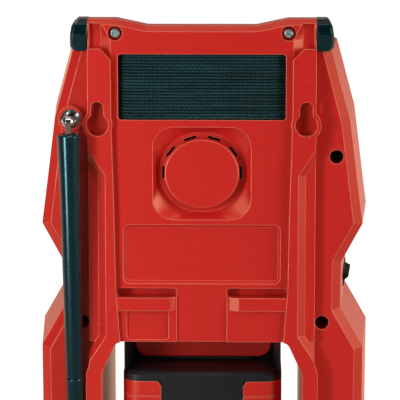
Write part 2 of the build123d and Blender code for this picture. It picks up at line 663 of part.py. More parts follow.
with BuildPart() as strap:
    with BuildSketch(Plane.XY.offset((window_low + window_high) / 2)):
        with BuildLine() as band_path:
            ring_y = bar_y + bar_r + ring_gap + band_thick / 2
            flat_half = bar_x - 9.5
            Line((-flat_half, band_y), (flat_half, band_y))
            Spline((flat_half, band_y), (flat_half + 4.0, band_y - 2.3), (bar_x, ring_y),
                   tangents=[(1, 0), (1, 0)])
            Spline((-flat_half, band_y), (-flat_half - 4.0, band_y - 2.3), (-bar_x, ring_y),
                   tangents=[(-1, 0), (-1, 0)])
        trace(line_width=band_thick)
        with Locations((bar_x, bar_y), (-bar_x, bar_y)):
            Circle(bar_r + ring_gap + band_thick)
        with Locations((bar_x, bar_y), (-bar_x, bar_y)):
            Circle(bar_r + ring_gap, mode=Mode.SUBTRACT)
    extrude(amount=band_height / 2, both=True)

# ---------------------------------------------------------------- bumpers and feet
bumper_out, bumper_in = body_half + 8.3, body_half + 0.3
bumper_top, bumper_back, bumper_front = case_top + 0.2, panel_face + 1.0, case_front + 6.0
bumper_side = [(bumper_in, pillar_top), (bumper_out - 1.6, pillar_top), (bumper_out, pillar_top + 2.1),
               (bumper_out, pillar_top + 7.1), (bumper_out - 0.7, bumper_top - 3.4),
               (bumper_out - 1.8, bumper_top - 1.3), (bumper_out - 3.2, bumper_top),
               (bumper_in, bumper_top)]
bumper_profile = [(bumper_back - 2.0, pillar_top), (bumper_back, pillar_top + 8.0),
                  (bumper_back - 1.4, bumper_top - 2.4), (bumper_back - 6.0, bumper_top),
                  (slope_start, bumper_top), (bumper_front, slope_height(bumper_front) + 0.4),
                  (bumper_front, pillar_top)]

with BuildPart() as bumper_right:
    with BuildSketch(facing_back(bumper_back)):
        with BuildLine():
            Polyline(*bumper_side, close=True)
        make_face()
    extrude(amount=bumper_back - bumper_front)
    with BuildSketch(Plane.YZ.offset(bumper_in)):
        with BuildLine():
            Polyline(*bumper_profile, close=True)
        make_face()
    extrude(amount=bumper_out - bumper_in, mode=Mode.INTERSECT)
    rim = bumper_right.edges().filter_by(
        lambda e: e.center().X > bumper_out - 2.4 and e.center().Y > bumper_back - 2.5)
    chamfer(rim, 1.2)
    with BuildSketch(Plane.XY.offset(pillar_top)):
        with Locations((tongue_x, (tongue_from + tongue_to) / 2)):
            Rectangle(tongue_width + 2 * fit_gap, tongue_to - tongue_from + 2 * fit_gap)
    extrude(amount=tongue_height + fit_gap, mode=Mode.SUBTRACT)

with BuildPart() as bumper_left:
    add(mirror(bumper_right.part, about=Plane.YZ))

with BuildPart() as feet:
    with BuildSketch(Plane.XY):
        with Locations(*[(side * foot_x, y) for side in (1, -1) for y in (foot_back, foot_front)]):
            RectangleRounded(foot_width - 0.4, foot_length - 0.4, 2.5)
    extrude(amount=leg_bottom + foot_depth)
    chamfer(feet.edges().group_by(Axis.Z)[0], 0.6)

# ---------------------------------------------------------------- antenna
pivot = Vector(antenna_x, rail_face + 7.0, antenna_z)
arm_tilt, arm_lean = radians(3.2), radians(0.6)
arm_up = Vector(sin(arm_lean) * cos(arm_tilt), sin(arm_tilt), cos(arm_lean) * cos(arm_tilt))
arm_side = Vector(cos(arm_lean), 0, -sin(arm_lean))
arm_plane = Plane(origin=pivot, x_dir=arm_side, z_dir=arm_side.cross(arm_up))
arm_cross = Plane(origin=pivot, x_dir=arm_side, z_dir=arm_up)
pin_plane = Plane(origin=pivot, x_dir=arm_up, z_dir=arm_side)
arm_axis = Axis(pivot, arm_up)
pin_length = 7.4
ball_r, fork_gap, blade_thick, blade_r = 3.1, 2.5, 2.4, 2.2
pin_r = 0.9
sleeve_top, sleeve_end, tip_end = -6.0, -125.0, -151.0      # distances along the antenna
sleeve_edge = [(5.3, sleeve_top), (5.75, sleeve_top - 0.6), (4.95, sleeve_top - 31.0),
               (4.55, sleeve_top - 80.0), (4.2, sleeve_end)]
blade_end = sleeve_top - 10.0

with BuildPart() as antenna_swivel:
    with Locations(Location(pivot)):
        Sphere(ball_r)
    # stem through the housing wall, with a flange outside
    with BuildSketch(facing_back(pivot.Y - 1.5)):
        with Locations((antenna_x, antenna_z)):
            Circle(antenna_stem_r)
    extrude(amount=pivot.Y - 1.5 - (pillar_face - socket_wall - 3))
    with BuildSketch(facing_back(pillar_face + 1.6)):
        with Locations((antenna_x, antenna_z)):
            Circle(antenna_well_r - seat_gap)
    extrude(amount=1.6)
    # fork slot and pin hole
    with BuildSketch(arm_plane.offset(-2 * ball_r)):
        Rectangle(fork_gap, 4 * ball_r)
    extrude(amount=2 * ball_r + blade_r + seat_gap, mode=Mode.SUBTRACT)
    with BuildSketch(pin_plane):
        Circle(pin_r)
    extrude(amount=2 * ball_r, both=True, mode=Mode.SUBTRACT)

with BuildPart() as antenna_nut:
    with BuildSketch(facing_back(pillar_face - socket_wall)):
        with Locations((antenna_x, antenna_z)):
            RegularPolygon(4.2, 6)
            Circle(antenna_stem_r, mode=Mode.SUBTRACT)
    extrude(amount=2.4)

with BuildPart() as antenna_pin:
    with BuildSketch(pin_plane):
        Circle(pin_r)
    extrude(amount=pin_length / 2, both=True)
    chamfer(antenna_pin.edges(), 0.25)

with BuildPart() as antenna_blade:
    with BuildSketch(pin_plane):
        Circle(blade_r)
        with Locations((blade_end / 2, 0)):
            Rectangle(-blade_end, 2 * blade_r)
        Circle(pin_r + fit_gap, mode=Mode.SUBTRACT)
    extrude(amount=blade_thick / 2, both=True)

with BuildPart() as antenna_sleeve:
    with BuildSketch(arm_plane):
        with BuildLine():
            Polyline((0, sleeve_top), *sleeve_edge, (0, sleeve_end), close=True)
        make_face()
    revolve(axis=arm_axis)
    # slot for the blade
    with BuildSketch(arm_cross.offset(sleeve_top)):
        Rectangle(blade_thick, 2 * blade_r)
    extrude(amount=blade_end - sleeve_top, mode=Mode.SUBTRACT)

with BuildPart() as antenna_tip:
    with BuildSketch(arm_plane):
        with BuildLine():
            Polyline((0, sleeve_end), (3.7, sleeve_end), (4.2, sleeve_end - 0.6), (4.0, tip_end + 1.2),
                     (2.8, tip_end), (0, tip_end), close=True)
        make_face()
    revolve(axis=arm_axis)

# ---------------------------------------------------------------- front panel with its controls
panel_half = body_half - wall - seat_gap
panel_low, panel_high = inner_floor + seat_gap, ceiling(panel_level) - 1.2
panel_thick = 2.5
panel_rear = panel_level + panel_thick
control_z, lens_z = case_top - 58.7, case_top - 35.7
speaker_top, speaker_bottom = control_z - 11.5, body_bottom + 10.0
speaker_z, speaker_half = (speaker_top + speaker_bottom) / 2, (speaker_top - speaker_bottom) / 2
grille_r, grille_thick, speaker_r = speaker_half + 1.3, 1.4, speaker_half - 1.5
hole_r, hole_pitch = 2.3, 5.2
knob_x = body_half - 17.7
bushing_r, shaft_r, encoder_half = 3.5, 2.95, 6.0
button_pitch = (knob_x - 6.5) / 3
button_width, button_height = button_pitch - 2.5, 5.5
button_names = ["power", "source", "band", "preset_one", "preset_two"]
button_xs = [(i - 2) * button_pitch for i in range(5)]
button_travel = 1.2
lens_width, lens_height, lens_thick = 2 * opening_half - 31.0, 19.4, 1.4
key_board_level = panel_rear + 6.3
key_post_x = 2.65 * button_pitch

with BuildPart() as front_panel:
    with BuildSketch(facing_back(panel_rear)):
        with Locations((0, (panel_low + panel_high) / 2)):
            RectangleRounded(2 * panel_half, panel_high - panel_low, 3)
    extrude(amount=panel_thick)
    with BuildSketch(facing_back(panel_level)):
        with Locations((0, speaker_z)):
            Circle(grille_r + 0.1)
        with Locations((0, lens_z)):
            RectangleRounded(lens_width + 0.2, lens_height + 0.2, 2)
    extrude(amount=-grille_thick, mode=Mode.SUBTRACT)
    with BuildSketch(facing_back(panel_rear)):
        with Locations((0, speaker_z)):
            Circle(speaker_r)
        with Locations((0, lens_z)):
            Rectangle(lens_width - 6, lens_height - 4)
        with Locations((knob_x, control_z), (-knob_x, control_z)):
            Circle(bushing_r + fit_gap)
        with Locations(*[(x, control_z) for x in button_xs]):
            RectangleRounded(button_width + 2 * seat_gap, button_height + 2 * seat_gap, 1.8)
    extrude(amount=panel_thick, mode=Mode.SUBTRACT)
    # posts for the key board
    with BuildSketch(facing_back(key_board_level)):
        with Locations(*[(side * key_post_x, z) for side in (1, -1) for z in (control_z - 5, control_z + 5)]):
            Circle(1.6)
    extrude(amount=key_board_level - panel_rear)

hole_row = hole_pitch * sin(radians(60))
hole_grid = [((i + j % 2 / 2) * hole_pitch, j * hole_row) for i in range(-8, 9) for j in range(-8, 9)]
hole_spots = [(x, speaker_z + z) for x, z in hole_grid if hypot(x, z) < speaker_r - 3.5]

with BuildPart() as speaker_grille:
    with BuildSketch(facing_back(panel_level + grille_thick)):
        with Locations((0, speaker_z)):
            Circle(grille_r)
        with Locations(*hole_spots):
            Circle(hole_r, mode=Mode.SUBTRACT)
    extrude(amount=grille_thick)

with BuildPart() as display_lens:
    with BuildSketch(facing_back(panel_level + lens_thick)):
        with Locations((0, lens_z)):
            RectangleRounded(lens_width, lens_height, 1.9)
    extrude(amount=lens_thick)

with BuildPart() as display_module:
    with BuildSketch(facing_back(panel_rear + 4.5)):
        with Locations((0, lens_z)):
            Rectangle(lens_width - 1, lens_height + 0.6)
    extrude(amount=4.5)
    with BuildSketch(facing_back(panel_rear)):
        with Locations((0, lens_z)):
            Rectangle(lens_width - 10, lens_height - 7)
    extrude(amount=-0.8, mode=Mode.SUBTRACT)

with BuildPart() as key_board:
    with BuildSketch(facing_back(key_board_level + 1.6)):
        with Locations((0, control_z)):
            Rectangle(2 * key_post_x + 4, 15)
    extrude(amount=1.6)

with BuildPart() as key_switches:
    with BuildSketch(facing_back(key_board_level)):
        with Locations(*[(x, control_z) for x in button_xs]):
            Rectangle(6, 6)
    extrude(amount=2.4)
    with BuildSketch(facing_back(key_board_level - 2.4)):
        with Locations(*[(x, control_z) for x in button_xs]):
            Circle(1.7)
    extrude(amount=0.8)

flange_gap = seat_gap
buttons = {}
for name, x in zip(button_names, button_xs):
    with BuildPart() as button:
        with BuildSketch(facing_back(panel_rear + flange_gap)):
            with Locations((x, control_z)):
                RectangleRounded(button_width, button_height, 1.5)
        extrude(amount=panel_thick + flange_gap + 2.0)
        chamfer(button.faces().sort_by(Axis.Y)[0].edges(), 0.5)
        with BuildSketch(facing_back(panel_rear + flange_gap + 1.0)):
            with Locations((x, control_z)):
                Rectangle(button_pitch - 0.8, button_height + 1.7)
        extrude(amount=1.0)
    buttons["button_" + name] = button.part

knob_back, knob_front, knob_r = case_front + 0.6, -68.4, 8.5
encoder_depth = 6.0
shaft_end = panel_rear + encoder_depth - 1.5

with BuildPart() as encoders:
    with BuildSketch(facing_back(panel_rear + encoder_depth)):
        with Locations((knob_x, control_z), (-knob_x, control_z)):
            Rectangle(2 * encoder_half, 2 * encoder_half)
    extrude(amount=encoder_depth)
    with BuildSketch(facing_back(panel_rear)):
        with Locations((knob_x, control_z), (-knob_x, control_z)):
            Circle(bushing_r)
    extrude(amount=panel_thick + 1.5)
    with BuildSketch(facing_back(shaft_end)):
        with Locations((knob_x, control_z), (-knob_x, control_z)):
            Circle(shaft_r + fit_gap)
    extrude(amount=20, mode=Mode.SUBTRACT)

shafts, knobs = {}, {}
for name, x in (("volume", knob_x), ("tuning", -knob_x)):
    with BuildPart() as shaft:
        with BuildSketch(facing_back(shaft_end - 0.1)):
            with Locations((x, control_z)):
                Circle(shaft_r)
        extrude(amount=shaft_end - 0.1 - knob_front - 2.5)
    shafts[name + "_shaft"] = shaft.part
    with BuildPart() as knob:
        with BuildSketch(facing_back(knob_back)):
            with Locations((x, control_z)):
                Circle(knob_r)
                with PolarLocations(knob_r + 0.1, 24):
                    Circle(0.55, mode=Mode.SUBTRACT)
        extrude(amount=knob_back - knob_front)
        with BuildSketch(facing_back(knob_front)):
            with Locations((x, control_z)):
                Circle(knob_r - 2)
        extrude(amount=-0.8, mode=Mode.SUBTRACT)
        with BuildSketch(facing_back(knob_front + 0.8)):
            with Locations((x, control_z + knob_r - 4)):
                Rectangle(1.4, 3.4)
        extrude(amount=0.8)
        with BuildSketch(facing_back(knob_back)):
            with Locations((x, control_z)):
                Circle(shaft_r)
        extrude(amount=knob_back - knob_front - 2.5, mode=Mode.SUBTRACT)
    knobs[name + "_knob"] = knob.part

# ---------------------------------------------------------------- speaker
flange_half, flange_thick = speaker_half, 1.8
speaker_screw_at = speaker_half - 4.5
cone_r = speaker_half - 5.5
dust_r = 0.28 * cone_r
basket_depth, magnet_r, magnet_depth = 20.0, 0.6 * speaker_half, 10.0
basket_hole = 0.45 * magnet_r
speaker_axis = Axis((0, 0, speaker_z), (0, 1, 0))


def speaker_profile(points):
    """Points given as (distance from the axis, depth behind the panel) on the YZ plane."""
    return [(panel_rear + depth, speaker_z + r) for r, depth in points]


with BuildPart() as speaker_frame:
    with BuildSketch(facing_back(panel_rear + flange_thick)):
        with Locations((0, speaker_z)):
            RectangleRounded(2 * flange_half, 2 * flange_half, 6)
            Circle(cone_r + 1, mode=Mode.SUBTRACT)
            with GridLocations(2 * speaker_screw_at, 2 * speaker_screw_at, 2, 2):
                Circle(small_shank_r + fit_gap, mode=Mode.SUBTRACT)
    extrude(amount=flange_thick)
    with BuildSketch(Plane.YZ):
        with BuildLine():
            Polyline(*speaker_profile([(cone_r + 1, 0), (cone_r + 2.2, 0), (cone_r + 2.2, flange_thick + 2),
                                       (magnet_r - 1, basket_depth), (basket_hole, basket_depth),
                                       (basket_hole, basket_depth - 1.6),
                                       (magnet_r - 2, basket_depth - 1.6),
                                       (cone_r + 1, flange_thick + 1.5)]), close=True)
        make_face()
    revolve(axis=speaker_axis)

with BuildPart() as speaker_cone:
    with BuildSketch(Plane.YZ):
        with BuildLine():
            Polyline(*speaker_profile([(cone_r + 0.9, 0.8), (cone_r - 1.6, 0.2), (cone_r - 3.4, 1.2),
                                       (dust_r, 12), (dust_r - 3, 9.8), (0, 9.2), (0, 10.2),
                                       (dust_r - 3.4, 10.8), (dust_r, 13.4), (cone_r - 3.2, 2.4),
                                       (cone_r - 1.6, 1.2), (cone_r + 0.9, 1.8)]), close=True)
        make_face()
    revolve(axis=speaker_axis)

with BuildPart() as speaker_magnet:
    with BuildSketch(facing_back(panel_rear + basket_depth + magnet_depth)):
        with Locations((0, speaker_z)):
            Circle(magnet_r)
    extrude(amount=magnet_depth)
    chamfer(speaker_magnet.faces().sort_by(Axis.Y)[-1].edges(), 1.0)

with BuildPart() as speaker_screws:
    with BuildSketch(facing_back(panel_rear + flange_thick + 1.5)):
        with Locations((0, speaker_z)):
            with GridLocations(2 * speaker_screw_at, 2 * speaker_screw_at, 2, 2):
                Circle(2.1)
    extrude(amount=1.5)
    with BuildSketch(facing_back(panel_rear + flange_thick)):
        with Locations((0, speaker_z)):
            with GridLocations(2 * speaker_screw_at, 2 * speaker_screw_at, 2, 2):
                Circle(small_shank_r)
    extrude(amount=flange_thick)

# ---------------------------------------------------------------- main board
with BuildPart() as main_board:
    with BuildSketch(Plane.XY.offset(board_level)):
        with Locations((0, (board_back + board_front) / 2)):
            Rectangle(2 * board_half, board_back - board_front)
            with GridLocations(2 * board_post_x, board_back - board_front - 2 * board_post_inset, 2, 2):
                Circle(small_shank_r + fit_gap, mode=Mode.SUBTRACT)
    extrude(amount=board_thick)

with BuildPart() as board_screws:
    with BuildSketch(Plane.XY.offset(board_level + board_thick)):
        with Locations((0, (board_back + board_front) / 2)):
            with GridLocations(2 * board_post_x, board_back - board_front - 2 * board_post_inset, 2, 2):
                Circle(2.2)
    extrude(amount=1.6)
    with BuildSketch(Plane.XY.offset(board_level + board_thick)):
        with Locations((0, (board_back + board_front) / 2)):
            with GridLocations(2 * board_post_x, board_back - board_front - 2 * board_post_inset, 2, 2):
                Circle(small_shank_r)
    extrude(amount=-5.5)

board_middle = (board_back + board_front) / 2
can_x, can_width, can_length, can_height, can_hole_r = -board_half / 2, 24.0, 22.0, 7.0, 1.5

with BuildPart() as tuner_can:
    with BuildSketch(Plane.XY.offset(board_level + board_thick)):
        with Locations((can_x, board_middle)):
            Rectangle(can_width, can_length)
    extrude(amount=can_height)
    with BuildSketch(Plane.XY.offset(board_level + board_thick + can_height)):
        with Locations((can_x, board_middle)):
            with GridLocations(can_width / 3, can_width / 3, 2, 2):
                Circle(can_hole_r)
    extrude(amount=-can_height / 10, mode=Mode.SUBTRACT)

sink_x, sink_width, sink_length, sink_base, sink_height = board_half / 2, 26.0, 20.0, 3.0, 15.0
fin_count, fin_thick = 8, 1.2

with BuildPart() as heat_sink:
    with BuildSketch(Plane.XY.offset(board_level + board_thick)):
        with Locations((sink_x, board_middle)):
            Rectangle(sink_width, sink_length)
    extrude(amount=sink_base)
    with BuildSketch(Plane.XY.offset(board_level + board_thick + sink_base)):
        with Locations((sink_x, board_middle)):
            with GridLocations((sink_width - fin_thick) / (fin_count - 1), sink_length, fin_count, 1):
                Rectangle(fin_thick, sink_length)
    extrude(amount=sink_height - sink_base)

capacitor_r, capacitor_height, capacitor_pitch = 4.0, 13.0, 10.0

with BuildPart() as capacitors:
    with BuildSketch(Plane.XY.offset(board_level + board_thick)):
        with Locations((0, board_front + 2 * capacitor_r)):
            with GridLocations(capacitor_pitch, capacitor_pitch, 3, 1):
                Circle(capacitor_r)
    extrude(amount=capacitor_height)
    chamfer(capacitors.edges().group_by(Axis.Z)[-1], capacitor_r / 6)

# ---------------------------------------------------------------- side ports
flap_axis_y, flap_axis_n = flap_height / 2 - 1.1, -0.4

with BuildPart() as port_cover:
    # plate with a rounded upper edge that it turns about, and a finger ridge
    with BuildSketch(flap_side):
        with Locations((flap_axis_n, (flap_axis_y + flap_low) / 2)):
            Rectangle(flap_thick, flap_axis_y - flap_low)
        with Locations((flap_axis_n, flap_axis_y)):
            Circle(flap_thick / 2)
        with BuildLine():
            Polyline((0, -2.2), (2.8, 0.3), (2.8, 0.9), (0, 2.4), close=True)
        make_face()
    extrude(amount=flap_length / 2, both=True)

port_board_x, port_board_y, port_board_z = body_half, flap_y, flap_z

with BuildPart() as port_board:
    with BuildSketch(Plane.YZ.offset(-port_board_x)):
        with Locations((port_board_y, port_board_z)):
            Rectangle(34, 18)
    extrude(amount=-1.6)

port_reach = flap_x - port_board_x - 1.6 - 2.2

with BuildPart() as aux_jack:
    with BuildSketch(Plane.YZ.offset(-port_board_x - 1.6)):
        with Locations((flap_y - aux_offset, port_board_z)):
            Rectangle(8, 9)
    extrude(amount=-(port_reach - 3))
    with BuildSketch(Plane.YZ.offset(-port_board_x - 1.6 - port_reach + 3)):
        with Locations((flap_y - aux_offset, port_board_z)):
            Circle(aux_hole_r - seat_gap)
    extrude(amount=-2.6)
    with BuildSketch(Plane.YZ.offset(-flap_x)):
        with Locations((flap_y - aux_offset, port_board_z)):
            Circle(1.8)
    extrude(amount=port_reach - 1, mode=Mode.SUBTRACT)

with BuildPart() as usb_socket:
    with BuildSketch(Plane.YZ.offset(-port_board_x - 1.6)):
        with Locations((flap_y - usb_offset, port_board_z)):
            Rectangle(usb_width - 1.2, usb_height - 1)
    extrude(amount=-(port_reach - 0.6))
    with BuildSketch(Plane.YZ.offset(-flap_x)):
        with Locations((flap_y - usb_offset, port_board_z)):
            Rectangle(usb_width - 2.0, usb_height - 1.8)
    extrude(amount=port_reach - 0.5, mode=Mode.SUBTRACT)
    with BuildSketch(Plane.YZ.offset(-port_board_x - 1.6)):
        with Locations((flap_y - usb_offset, port_board_z + 0.8)):
            Rectangle(usb_width - 3.2, 1.2)
    extrude(amount=-(port_reach - 2))

# ---------------------------------------------------------------- battery holder
holder_corner = 6.8
hook_half, hook_top = 6.0, holder_low + 2.2
hook_back, hook_front = channel_front - 4.3, channel_front - 8.7

with BuildPart() as battery_holder:
    with BuildSketch(facing_back(holder_back)):
        with Locations((0, (holder_low + body_bottom) / 2)):
            Rectangle(2 * holder_half, body_bottom - holder_low)
    extrude(amount=holder_back - holder_front)
    lower = battery_holder.edges().filter_by(Axis.Y).group_by(Axis.Z)[0]
    fillet(lower, holder_corner)
    with BuildSketch(facing_back(holder_back)):
        with Locations((0, (holder_low + neck_top) / 2)):
            Rectangle(2 * neck_half, neck_top - holder_low)
        with Locations((0, (neck_top + channel_top) / 2)):
            Rectangle(2 * channel_half, channel_top - neck_top)
    extrude(amount=holder_back - channel_front, mode=Mode.SUBTRACT)
    # slot for the latch
    with BuildSketch(Plane.XY.offset(holder_low)):
        with Locations((0, (channel_front + hook_front - seat_gap) / 2)):
            Rectangle(2 * hook_half + 0.8, channel_front - hook_front + seat_gap)
    extrude(amount=body_bottom - holder_low, mode=Mode.SUBTRACT)
    # screw holes, sunk from below
    with BuildSketch(Plane.XY.offset(body_bottom)):
        with Locations(*both_sides([(holder_screw_x, y) for y in holder_screw_ys])):
            Circle(screw_shank_r + fit_gap)
    extrude(amount=-(body_bottom - channel_top), mode=Mode.SUBTRACT)
    with BuildSketch(Plane.XY.offset(channel_top)):
        with Locations(*both_sides([(holder_screw_x, y) for y in holder_screw_ys])):
            Circle(screw_head_r + seat_gap)
    extrude(amount=2.2, mode=Mode.SUBTRACT)

with BuildPart() as holder_screws:
    with BuildSketch(Plane.XY.offset(channel_top + 2.2)):
        with Locations(*both_sides([(holder_screw_x, y) for y in holder_screw_ys])):
            Circle(screw_head_r)
    extrude(amount=-1.8)
    with BuildSketch(Plane.XY.offset(channel_top + 2.2)):
        with Locations(*both_sides([(holder_screw_x, y) for y in holder_screw_ys])):
            Circle(screw_shank_r)
    extrude(amount=inner_floor + 2 - channel_top - 2.2)

terminal_front, terminal_back = channel_front, channel_front + 7.0
rail_start = terminal_back + 0.5
blade_xs = (-9.0, -3.0, 3.0, 9.0)
blade_z, blade_tip, blade_root = (neck_top + channel_top) / 2 + 0.3, terminal_back + 8.0, channel_front + 2.0

with BuildPart() as terminal_block:
    with BuildSketch(Plane.XY.offset(channel_top)):
        with Locations((0, (terminal_front + terminal_back) / 2)):
            Rectangle(32, terminal_back - terminal_front)
    extrude(amount=-5.4)
    with BuildSketch(facing_back(terminal_back)):
        with Locations(*[(x, blade_z) for x in blade_xs]):
            Rectangle(0.8, 3.6)
    extrude(amount=terminal_back - blade_root, mode=Mode.SUBTRACT)

with BuildPart() as terminal_blades:
    with BuildSketch(facing_back(blade_tip)):
        with Locations(*[(x, blade_z) for x in blade_xs]):
            Rectangle(0.8, 3.6)
    extrude(amount=blade_tip - blade_root)

# ---------------------------------------------------------------- battery
pack_corner, pack_wall, pack_ridge = 9.0, 2.0, 1.8
pack_mid = (pack_back + pack_front) / 2
pack_length = pack_back - pack_front
skin_thick, skin_inner, skin_corner = 1.4, 20.0, 2.5
skin_low, skin_top = pack_low + 4.0, shoulder_z - 4.8
seam_width = 0.5
shoulder_chamfer = 1.8
rail_end = holder_back + seat_gap
plate_thick = 3.0                    # red plate that closes the back of the holder
cheek_inner, cheek_outer = holder_half + seat_gap, pack_half - 0.4
latch_half, latch_thick = 12.0, 3.0
latch_front, latch_back, latch_top = pack_front + 1.0, channel_front + 2.0, shoulder_z - 0.4
latch_travel = 3.0
pack_screw_spots = [(side * (skin_inner - 4.0), y) for side in (1, -1)
                    for y in (pack_back - 4.5, pack_front + 4.5)]


def pack_plan(by=0.0):
    """Plan of the battery moved inwards; its back has a shallow ridge in the middle."""
    with BuildSketch() as plan:
        with BuildLine():
            Polyline((pack_half - by, pack_front + by), (pack_half - by, pack_back - pack_ridge - by),
                     (0, pack_back - by), (by - pack_half, pack_back - pack_ridge - by),
                     (by - pack_half, pack_front + by), close=True)
        make_face()
        fillet(plan.vertices().filter_by(lambda v: abs(v.X) > 1), pack_corner - by)
    return plan.sketch


def skin_plan(thick):
    """Plan of the red side panels, a skin of the given thickness on both sides of the battery."""
    with BuildSketch() as plan:
        add(pack_plan())
        add(pack_plan(thick), mode=Mode.SUBTRACT)
        with Locations((0, pack_mid)):
            Rectangle(2 * skin_inner, pack_length, mode=Mode.SUBTRACT)
    return plan.sketch


with BuildPart() as battery_top_case:
    with BuildSketch(Plane.XY.offset(pack_part)):
        add(pack_plan())
    extrude(amount=shoulder_z - pack_part)
    chamfer(battery_top_case.faces().sort_by(Axis.Z)[-1].edges(), shoulder_chamfer)
    # cheeks beside the holder, which run out towards the back
    with BuildSketch(Plane.XY.offset(shoulder_z - shoulder_chamfer)):
        with BuildLine():
            Polyline((cheek_inner, holder_front), (cheek_inner, holder_back + 1),
                     (cheek_outer - 0.9, pack_back - 7.5), (cheek_outer - 0.3, pack_back - 7.5),
                     (cheek_outer, pack_back - 10.0), (cheek_outer, holder_front), close=True)
        make_face()
        mirror(about=Plane.YZ)
    extrude(amount=body_bottom - seat_gap - shoulder_z + shoulder_chamfer)
    # rail that slides into the holder
    with BuildSketch(Plane.XY.offset(shoulder_z)):
        with Locations((0, (rail_end + rail_start) / 2)):
            Rectangle(2 * neck_half - 0.8, rail_end - rail_start)
    extrude(amount=channel_top - seat_gap - shoulder_z)
    with BuildSketch(Plane.XY.offset(neck_top + seat_gap)):
        with Locations((0, (rail_end + rail_start) / 2)):
            Rectangle(2 * channel_half - 0.8, rail_end - rail_start)
    extrude(amount=channel_top - neck_top - 2 * seat_gap)
    # slots for the terminals
    with BuildSketch(facing_back(rail_start)):
        with Locations(*[(x, blade_z) for x in blade_xs]):
            Rectangle(1.6, 4.4)
    extrude(amount=rail_start - blade_tip - 1, mode=Mode.SUBTRACT)
    # room for the latch and its button
    with BuildSketch(Plane.XY.offset(shoulder_z)):
        with Locations((0, (latch_back + pack_front) / 2)):
            Rectangle(2 * latch_half + 0.6, latch_back - pack_front + 0.6)
    extrude(amount=-(shoulder_z - latch_top + latch_thick + latch_travel + seat_gap), mode=Mode.SUBTRACT)
    # seat of the side panels
    with BuildSketch(Plane.XY.offset(pack_part)):
        add(skin_plan(skin_thick))
    extrude(amount=skin_top - pack_part, mode=Mode.SUBTRACT)
    with BuildSketch(Plane.XY.offset(pack_part)):
        with Locations(*pack_screw_spots):
            Circle(small_shank_r + fit_gap)
    extrude(amount=6, mode=Mode.SUBTRACT)
    # space over the cells
    with BuildSketch(Plane.XY.offset(pack_part)):
        with Locations((0, pack_mid)):
            Rectangle(2 * (pack_half - 6), pack_length - 24)
    extrude(amount=2.5, mode=Mode.SUBTRACT)

with BuildPart() as battery_bottom_case:
    with BuildSketch(Plane.XY.offset(pack_low)):
        add(pack_plan())
    extrude(amount=pack_part - pack_low)
    chamfer(battery_bottom_case.faces().sort_by(Axis.Z)[0].edges(), 1.5)
    with BuildSketch(Plane.XY.offset(pack_low + 2.2)):
        add(pack_plan(skin_thick + pack_wall))
    extrude(amount=pack_part - pack_low, mode=Mode.SUBTRACT)
    with BuildSketch(Plane.XY.offset(skin_low)):
        add(skin_plan(skin_thick))
    extrude(amount=pack_part - skin_low, mode=Mode.SUBTRACT)
    with BuildSketch(Plane.XY.offset(pack_low + 2.2)):
        with Locations(*pack_screw_spots):
            Circle(2.3)
    extrude(amount=pack_part - pack_low - 2.2)
    with BuildSketch(Plane.XY.offset(pack_low)):
        with Locations(*pack_screw_spots):
            Circle(small_shank_r + fit_gap)
    extrude(amount=pack_part - pack_low, mode=Mode.SUBTRACT)
    with BuildSketch(Plane.XY.offset(pack_low)):
        with Locations(*pack_screw_spots):
            Circle(2.1)
    extrude(amount=1.6, mode=Mode.SUBTRACT)

with BuildPart() as battery_side_panels:
    with BuildSketch(Plane.XY.offset(skin_low)):
        add(skin_plan(skin_thick - fit_gap))
    extrude(amount=skin_top - skin_low)
    # rounded upper corners and a groove level with the joint of the two cases
    corners = battery_side_panels.edges().group_by(Axis.Z)[-1].filter_by(
        lambda e: abs(abs(e.center().X) - skin_inner) < 0.01)
    chamfer(corners, skin_corner, 0.6 * skin_corner)
    with BuildSketch(Plane.XY.offset(pack_part)):
        add(pack_plan())
        add(pack_plan(seam_width), mode=Mode.SUBTRACT)
    extrude(amount=seam_width, mode=Mode.SUBTRACT)

with BuildPart() as battery_end_plate:
    with BuildSketch(facing_back(rail_end + plate_thick)):
        with Locations((0, (holder_low + body_bottom - seat_gap) / 2)):
            Rectangle(2 * holder_half, body_bottom - seat_gap - holder_low)
    extrude(amount=plate_thick)
    fillet(battery_end_plate.edges().filter_by(Axis.Y).group_by(Axis.Z)[0], holder_corner)
    fillet(battery_end_plate.faces().sort_by(Axis.Y)[-1].edges().group_by(Axis.Z)[0], 1.0)

with BuildPart() as battery_screws:
    with BuildSketch(Plane.XY.offset(pack_low + 1.6)):
        with Locations(*pack_screw_spots):
            Circle(1.9)
    extrude(amount=-1.4)
    with BuildSketch(Plane.XY.offset(pack_low + 1.6)):
        with Locations(*pack_screw_spots):
            Circle(small_shank_r)
    extrude(amount=pack_part + 5 - pack_low - 1.6)

with BuildPart() as battery_cells:
    with BuildSketch(Plane.YZ):
        with Locations((pack_mid, pack_low + 2.2 + cell_r + cell_pitch / 2)):
            with GridLocations(cell_pitch, cell_pitch, cell_rows, 2):
                Circle(cell_r)
    extrude(amount=cell_length / 2, both=True)

with BuildPart() as battery_latch:
    with BuildSketch(Plane.XY.offset(latch_top)):
        with Locations((0, (latch_back + latch_front) / 2)):
            Rectangle(2 * latch_half, latch_back - latch_front)
    extrude(amount=-latch_thick)
    with BuildSketch(facing_back(hook_back)):
        with Locations((0, (latch_top + hook_top) / 2)):
            Rectangle(2 * hook_half, hook_top - latch_top)
    extrude(amount=hook_back - hook_front)

with BuildPart() as battery_button:
    with BuildSketch(facing_back(latch_front)):
        with Locations((0, latch_top - 1.5)):
            RectangleRounded(2 * latch_half - 2, 3.2, 1.2)
    extrude(amount=3.5)
    with BuildSketch(facing_back(latch_front - 3.5)):
        with Locations((0, latch_top - 2.1), (0, latch_top - 0.9)):
            Rectangle(2 * latch_half - 8, 0.5)
    extrude(amount=-0.5, mode=Mode.SUBTRACT)

